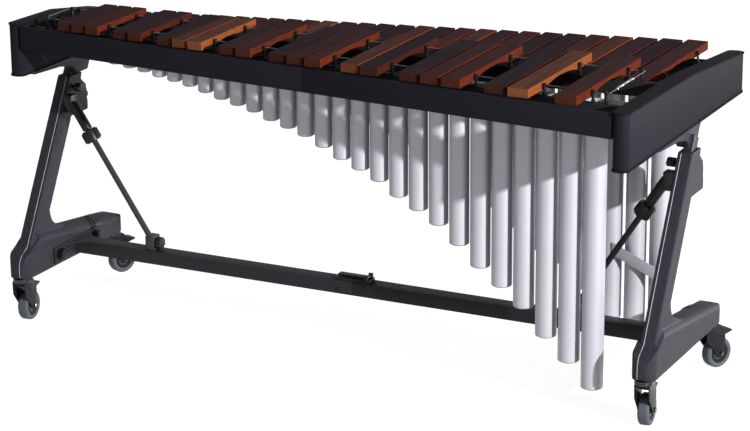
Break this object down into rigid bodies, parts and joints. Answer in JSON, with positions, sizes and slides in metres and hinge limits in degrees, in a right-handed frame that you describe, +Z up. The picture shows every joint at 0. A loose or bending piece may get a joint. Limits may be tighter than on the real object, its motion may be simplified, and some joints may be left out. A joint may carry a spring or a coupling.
{
  "type": "concert marimba",
  "caption": "Concert marimba with tuned wooden bars over two banks of tube resonators, on a height-adjustable rolling frame.",
  "frame": {"origin": "middle of the footprint, on the floor", "axes": "+X towards the low notes, +Y towards the player's side (natural bars), +Z up"},
  "size_m": [1.9064, 0.8598, 0.868],
  "materials": {
    "speckled_powder_coat": "speckled charcoal powder coat on an aluminium casting",
    "post_paint": "smooth charcoal paint",
    "charcoal_shell": "fine-textured charcoal paint over fibreboard",
    "black_trim": "moulded black edge",
    "matt_black_board": "matt black laminate",
    "matt_black_rail": "matt black paint",
    "black_post": "black with a rubber sleeve",
    "rosewood": "oiled rosewood, satin",
    "cord": "braided black cord",
    "satin_aluminium": "satin silver",
    "light_grey_strip": "plain",
    "bright_strip": "plain",
    "black_beam": "satin black paint",
    "black_brace": "satin black paint",
    "grey_rod": "dark grey paint",
    "black_plastic": "moulded",
    "caster_metal": "dark grey plated",
    "tyre_grey": "grey rubber",
    "hub_grey": "moulded grey"
  },
  "bodies": {
    "frame": {"low_leg_outer_shell": "speckled_powder_coat", "low_leg_inner_shell": "speckled_powder_coat", "high_leg_outer_shell": "speckled_powder_coat", "high_leg_inner_shell": "speckled_powder_coat", "beam_low_half": "black_beam", "beam_high_half": "black_beam", "beam_coupling": "black_beam", "low_brace_tube": "black_brace", "high_brace_tube": "black_brace", "low_brace_rod": "grey_rod", "high_brace_rod": "grey_rod"},
    "desk": {"low_post": "post_paint", "high_post": "post_paint", "low_end_shell": "charcoal_shell", "high_end_shell": "charcoal_shell", "low_end_trim": "black_trim", "high_end_trim": "black_trim", "front_board_low": "matt_black_board", "front_board_high": "matt_black_board", "rear_board": "matt_black_board", "bar_rails": "matt_black_rail", "cord_posts": "black_post", "natural_bars": "rosewood", "accidental_bars": "rosewood", "accidental_cord": "cord", "natural_cord": "cord", "front_resonators": "satin_aluminium", "rear_resonators": "satin_aluminium", "resonator_caps": "satin_aluminium", "resonator_rails": "light_grey_strip", "resonator_stay": "bright_strip"},
    "latch": {"beam_latch": "black_plastic"},
    "low_height_knob": {"low_height_knob": "black_plastic"},
    "low_clamp_knob": {"low_clamp_knob": "black_plastic"},
    "low_brace_collar": {"low_brace_collar": "black_plastic"},
    "low_brace_knob": {"low_brace_knob": "black_plastic"},
    "low_beam_knob_front": {"low_beam_knob_front": "black_plastic"},
    "low_beam_knob_rear": {"low_beam_knob_rear": "black_plastic"},
    "high_height_knob": {"high_height_knob": "black_plastic"},
    "high_clamp_knob": {"high_clamp_knob": "black_plastic"},
    "high_brace_collar": {"high_brace_collar": "black_plastic"},
    "high_brace_knob": {"high_brace_knob": "black_plastic"},
    "high_beam_knob_front": {"high_beam_knob_front": "black_plastic"},
    "high_beam_knob_rear": {"high_beam_knob_rear": "black_plastic"},
    "swivel_low_front": {"caster_fork_low_front": "caster_metal"},
    "wheel_low_front": {"caster_tyre_low_front": "tyre_grey", "caster_hub_low_front": "hub_grey"},
    "brake_low_front": {"caster_brake_low_front": "black_plastic"},
    "swivel_low_rear": {"caster_fork_low_rear": "caster_metal"},
    "wheel_low_rear": {"caster_tyre_low_rear": "tyre_grey", "caster_hub_low_rear": "hub_grey"},
    "brake_low_rear": {"caster_brake_low_rear": "black_plastic"},
    "swivel_high_front": {"caster_fork_high_front": "caster_metal"},
    "wheel_high_front": {"caster_tyre_high_front": "tyre_grey", "caster_hub_high_front": "hub_grey"},
    "brake_high_front": {"caster_brake_high_front": "black_plastic"},
    "swivel_high_rear": {"caster_fork_high_rear": "caster_metal"},
    "wheel_high_rear": {"caster_tyre_high_rear": "tyre_grey", "caster_hub_high_rear": "hub_grey"},
    "brake_high_rear": {"caster_brake_high_rear": "black_plastic"}
  },
  "joints": [
    {"name": "desk_height", "type": "slide", "parent": "frame", "child": "desk", "axis": [0, 0.4756, 0.8796], "range_m": [0, 0.2]},
    {"name": "latch_pivot", "type": "hinge", "parent": "frame", "child": "latch", "pos_m": [0.036, -0.013, 0.196], "axis": [0, 1, 0], "range_deg": [0, 70]},
    {"name": "low_height_knob_turn", "type": "hinge", "parent": "frame", "child": "low_height_knob", "pos_m": [0.875, 0.01491, 0.612], "axis": [1, 0, 0], "continuous": true},
    {"name": "low_clamp_knob_turn", "type": "hinge", "parent": "frame", "child": "low_clamp_knob", "pos_m": [0.913, 0.092, 0.548], "axis": [0, 1, 0], "continuous": true},
    {"name": "low_brace_collar_turn", "type": "hinge", "parent": "frame", "child": "low_brace_collar", "pos_m": [0.81723, -0.01913, 0.48843], "axis": [-0.5415, 0.0181, -0.8405], "continuous": true},
    {"name": "low_brace_knob_turn", "type": "hinge", "parent": "frame", "child": "low_brace_knob", "pos_m": [0.609, -0.013, 0.202], "axis": [1, 0, 0], "continuous": true},
    {"name": "low_beam_knob_front_turn", "type": "hinge", "parent": "frame", "child": "low_beam_knob_front", "pos_m": [0.865, -0.112, 0.163], "axis": [1, 0, 0], "continuous": true},
    {"name": "low_beam_knob_rear_turn", "type": "hinge", "parent": "frame", "child": "low_beam_knob_rear", "pos_m": [0.865, 0.072, 0.163], "axis": [1, 0, 0], "continuous": true},
    {"name": "high_height_knob_turn", "type": "hinge", "parent": "frame", "child": "high_height_knob", "pos_m": [-0.875, 0.01491, 0.612], "axis": [1, 0, 0], "continuous": true},
    {"name": "high_clamp_knob_turn", "type": "hinge", "parent": "frame", "child": "high_clamp_knob", "pos_m": [-0.913, 0.092, 0.57], "axis": [0, 1, 0], "continuous": true},
    {"name": "high_brace_collar_turn", "type": "hinge", "parent": "frame", "child": "high_brace_collar", "pos_m": [-0.81723, -0.01913, 0.48843], "axis": [0.5415, 0.0181, -0.8405], "continuous": true},
    {"name": "high_brace_knob_turn", "type": "hinge", "parent": "frame", "child": "high_brace_knob", "pos_m": [-0.609, -0.013, 0.202], "axis": [1, 0, 0], "continuous": true},
    {"name": "high_beam_knob_front_turn", "type": "hinge", "parent": "frame", "child": "high_beam_knob_front", "pos_m": [-0.865, -0.112, 0.163], "axis": [1, 0, 0], "continuous": true},
    {"name": "high_beam_knob_rear_turn", "type": "hinge", "parent": "frame", "child": "high_beam_knob_rear", "pos_m": [-0.865, 0.072, 0.163], "axis": [1, 0, 0], "continuous": true},
    {"name": "swivel_low_front_turn", "type": "hinge", "parent": "frame", "child": "swivel_low_front", "pos_m": [0.913, -0.252, 0.13], "axis": [0, 0, 1], "continuous": true},
    {"name": "wheel_low_front_spin", "type": "hinge", "parent": "swivel_low_front", "child": "wheel_low_front", "pos_m": [0.91004, -0.21813, 0.041], "axis": [0.9962, 0.0872, 0], "continuous": true},
    {"name": "brake_low_front_press", "type": "hinge", "parent": "swivel_low_front", "child": "brake_low_front", "pos_m": [0.90969, -0.21415, 0.094], "axis": [-0.9962, -0.0872, 0], "range_deg": [0, 18]},
    {"name": "swivel_low_rear_turn", "type": "hinge", "parent": "frame", "child": "swivel_low_rear", "pos_m": [0.913, 0.212, 0.13], "axis": [0, 0, 1], "continuous": true},
    {"name": "wheel_low_rear_spin", "type": "hinge", "parent": "swivel_low_rear", "child": "wheel_low_rear", "pos_m": [0.92896, 0.24202, 0.041], "axis": [0.8829, -0.4695, 0], "continuous": true},
    {"name": "brake_low_rear_press", "type": "hinge", "parent": "swivel_low_rear", "child": "brake_low_rear", "pos_m": [0.93084, 0.24555, 0.094], "axis": [-0.8829, 0.4695, 0], "range_deg": [0, 18]},
    {"name": "swivel_high_front_turn", "type": "hinge", "parent": "frame", "child": "swivel_high_front", "pos_m": [-0.913, -0.252, 0.13], "axis": [0, 0, 1], "continuous": true},
    {"name": "wheel_high_front_spin", "type": "hinge", "parent": "swivel_high_front", "child": "wheel_high_front", "pos_m": [-0.91596, -0.21813, 0.041], "axis": [0.9962, 0.0872, 0], "continuous": true},
    {"name": "brake_high_front_press", "type": "hinge", "parent": "swivel_high_front", "child": "brake_high_front", "pos_m": [-0.91631, -0.21415, 0.094], "axis": [-0.9962, -0.0872, 0], "range_deg": [0, 18]},
    {"name": "swivel_high_rear_turn", "type": "hinge", "parent": "frame", "child": "swivel_high_rear", "pos_m": [-0.913, 0.212, 0.13], "axis": [0, 0, 1], "continuous": true},
    {"name": "wheel_high_rear_spin", "type": "hinge", "parent": "swivel_high_rear", "child": "wheel_high_rear", "pos_m": [-0.89972, 0.2433, 0.041], "axis": [0.9205, -0.3907, 0], "continuous": true},
    {"name": "brake_high_rear_press", "type": "hinge", "parent": "swivel_high_rear", "child": "brake_high_rear", "pos_m": [-0.89815, 0.24698, 0.094], "axis": [-0.9205, 0.3907, 0], "range_deg": [0, 18]}
  ]
}
